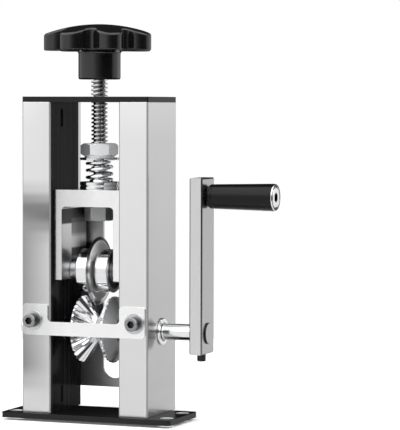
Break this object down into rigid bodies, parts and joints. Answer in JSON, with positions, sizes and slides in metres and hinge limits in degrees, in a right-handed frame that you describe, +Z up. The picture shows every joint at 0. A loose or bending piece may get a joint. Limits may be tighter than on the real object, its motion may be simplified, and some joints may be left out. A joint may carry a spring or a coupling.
{
  "type": "hand crank wire stripper",
  "caption": "Hand crank wire stripper: toothed cone wheels on a cranked shaft feed a cable under a round blade, set by a sprung screw with a star knob.",
  "frame": {"origin": "on the underside of the base plate, straight below the pressure screw's axis", "axes": "+X along the drive shaft towards the crank, +Y from the front where the cable goes in towards the back, +Z up"},
  "size_m": [0.2025, 0.0796, 0.2892],
  "materials": {
    "black_paint": "satin black powder coat",
    "brushed_aluminium": "fine brushed, anodised",
    "polished_aluminium": "bright milled",
    "zinc_steel": "zinc plated",
    "bright_steel": "polished",
    "blade_steel": "ground and hardened",
    "dark_steel": "black oxide",
    "spring_steel": "bright drawn wire",
    "brass": "turned",
    "gloss_black_plastic": "moulded gloss",
    "black_grip": "satin moulded"
  },
  "bodies": {
    "frame": {"base_plate": "black_paint", "top_plate": "black_paint", "screw_bush": "brass", "left_column": "brushed_aluminium", "right_column": "brushed_aluminium", "end_blocks": "dark_steel", "top_plate_screws": "dark_steel", "base_plate_screws": "dark_steel", "front_guide": "polished_aluminium", "guide_screws": "dark_steel", "guide_washers": "bright_steel", "rear_plate": "zinc_steel", "rear_plate_screws": "dark_steel", "left_bush": "bright_steel", "right_bush": "bright_steel"},
    "drive": {"drive_shaft": "bright_steel", "left_feed_wheel": "bright_steel", "right_feed_wheel": "bright_steel", "wheel_keys": "zinc_steel", "left_collar": "dark_steel", "right_collar": "dark_steel", "collar_pins": "zinc_steel", "crank_arm": "brushed_aluminium", "crank_set_screw": "dark_steel", "grip_spindle": "bright_steel"},
    "handle": {"grip": "black_grip", "grip_end_ring": "bright_steel"},
    "lift": {"upper_spring_washer": "bright_steel", "spring": "spring_steel"},
    "screw": {"pressure_screw": "bright_steel", "star_knob": "gloss_black_plastic", "knob_insert": "brass", "spring_nut": "bright_steel", "lock_nut": "bright_steel"},
    "slider": {"slider_block": "polished_aluminium", "lower_spring_seat": "bright_steel", "blade_axle": "zinc_steel", "axle_screws": "zinc_steel", "axle_spacers": "zinc_steel", "blade_shims": "zinc_steel", "bearing_inner_rings": "zinc_steel", "bearing_balls": "bright_steel"},
    "left_roller": {"left_bearing_ring": "bright_steel", "left_bearing_shields": "dark_steel"},
    "right_roller": {"right_bearing_ring": "bright_steel", "right_bearing_shields": "dark_steel"},
    "cutter": {"blade": "blade_steel"}
  },
  "joints": [
    {"name": "drive_spin", "type": "hinge", "parent": "frame", "child": "drive", "pos_m": [0, 0, 0.0645], "axis": [1, 0, 0], "continuous": true},
    {"name": "grip_spin", "type": "hinge", "parent": "drive", "child": "handle", "pos_m": [0.0863, 0, 0.164], "axis": [1, 0, 0], "continuous": true},
    {"name": "screw_travel", "type": "slide", "parent": "frame", "child": "lift", "axis": [0, 0, 1], "range_m": [-0.0025, 0.0251]},
    {"name": "screw_turn", "type": "hinge", "parent": "lift", "child": "screw", "pos_m": [0, 0, 0.26], "axis": [0, 0, 1], "range_deg": [-288, 3000]},
    {"name": "slider_float", "type": "slide", "parent": "lift", "child": "slider", "axis": [0, 0, 1], "range_m": [0, 0.004], "stiffness_N_per_m": 6000, "springref_m": -0.004, "deforming": ["spring"]},
    {"name": "left_roller_spin", "type": "hinge", "parent": "slider", "child": "left_roller", "pos_m": [-0.0076, 0, 0.1078], "axis": [1, 0, 0], "continuous": true},
    {"name": "right_roller_spin", "type": "hinge", "parent": "slider", "child": "right_roller", "pos_m": [0.0076, 0, 0.1078], "axis": [1, 0, 0], "continuous": true},
    {"name": "blade_spin", "type": "hinge", "parent": "slider", "child": "cutter", "pos_m": [0, 0, 0.1078], "axis": [1, 0, 0], "continuous": true}
  ],
  "couplings": [
    {"joint": "screw_travel", "follows": "screw_turn", "m_per_rad": 0.00047746}
  ]
}
